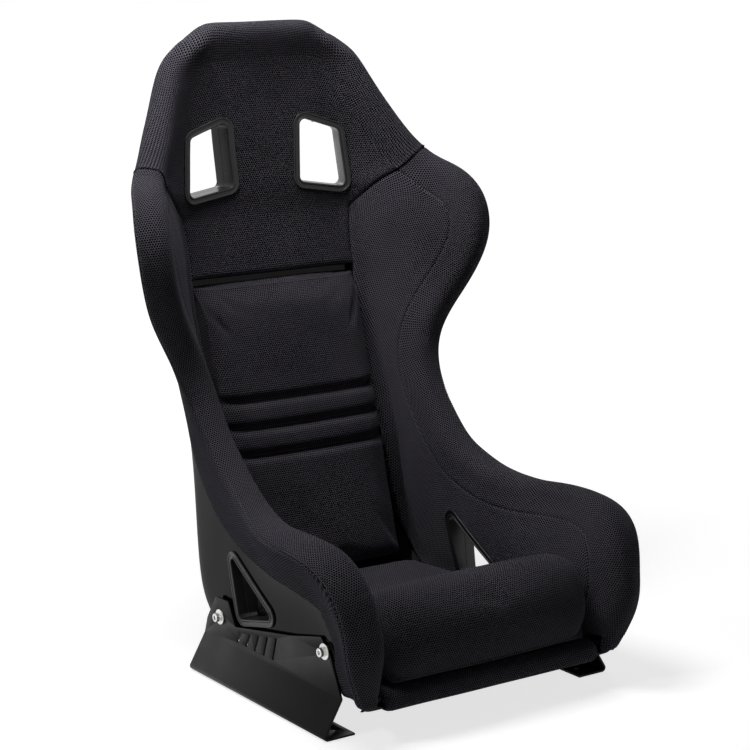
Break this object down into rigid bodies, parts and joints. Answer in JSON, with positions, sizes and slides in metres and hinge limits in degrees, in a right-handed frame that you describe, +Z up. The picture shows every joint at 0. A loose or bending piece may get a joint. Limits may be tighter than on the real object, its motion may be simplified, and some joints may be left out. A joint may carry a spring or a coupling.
{
  "type": "racing seat",
  "caption": "Fixed-back bucket racing seat with head protection, belt slots, mesh-covered cushions and bolted side mounts.",
  "frame": {"origin": "on the floor, midway between the side mounts and at mid length of their feet", "axes": "+X to the right seen from the front, +Y rearwards, +Z up; the sitter faces -Y"},
  "size_m": [0.614, 0.6525, 0.9444],
  "materials": {
    "gloss_laminate": "gloss",
    "insert_steel": "machined",
    "foam": "matte",
    "mesh_fabric": "matte",
    "hook_tape": "matte",
    "bezel_plastic": "satin",
    "mount_steel": "satin",
    "zinc_steel": "bright"
  },
  "bodies": {
    "root": {"shell": "gloss_laminate", "threaded_inserts_right": "insert_steel", "threaded_inserts_left": "insert_steel", "side_foam_right": "foam", "side_foam_left": "foam", "side_cover_right": "mesh_fabric", "side_cover_left": "mesh_fabric", "head_and_back_foam": "foam", "head_and_back_cover": "mesh_fabric", "front_lip_foam": "foam", "front_lip_cover": "mesh_fabric", "back_cushion_foam": "foam", "back_cushion_cover": "mesh_fabric", "seat_pad_foam": "foam", "seat_pad_cover": "mesh_fabric", "thigh_roll_foam": "foam", "thigh_roll_cover": "mesh_fabric", "back_hook_strips": "hook_tape", "base_hook_strips": "hook_tape", "harness_bezel_front_right": "bezel_plastic", "harness_bezel_front_left": "bezel_plastic", "harness_bezel_rear_right": "bezel_plastic", "harness_bezel_rear_left": "bezel_plastic", "lap_bezel_inner_right": "bezel_plastic", "lap_bezel_inner_left": "bezel_plastic", "lap_bezel_outer_right": "bezel_plastic", "lap_bezel_outer_left": "bezel_plastic", "side_mount_right": "mount_steel", "side_mount_left": "mount_steel", "mount_bolts_right": "zinc_steel", "mount_bolts_left": "zinc_steel", "mount_washers_right": "zinc_steel", "mount_washers_left": "zinc_steel"}
  },
  "joints": []
}
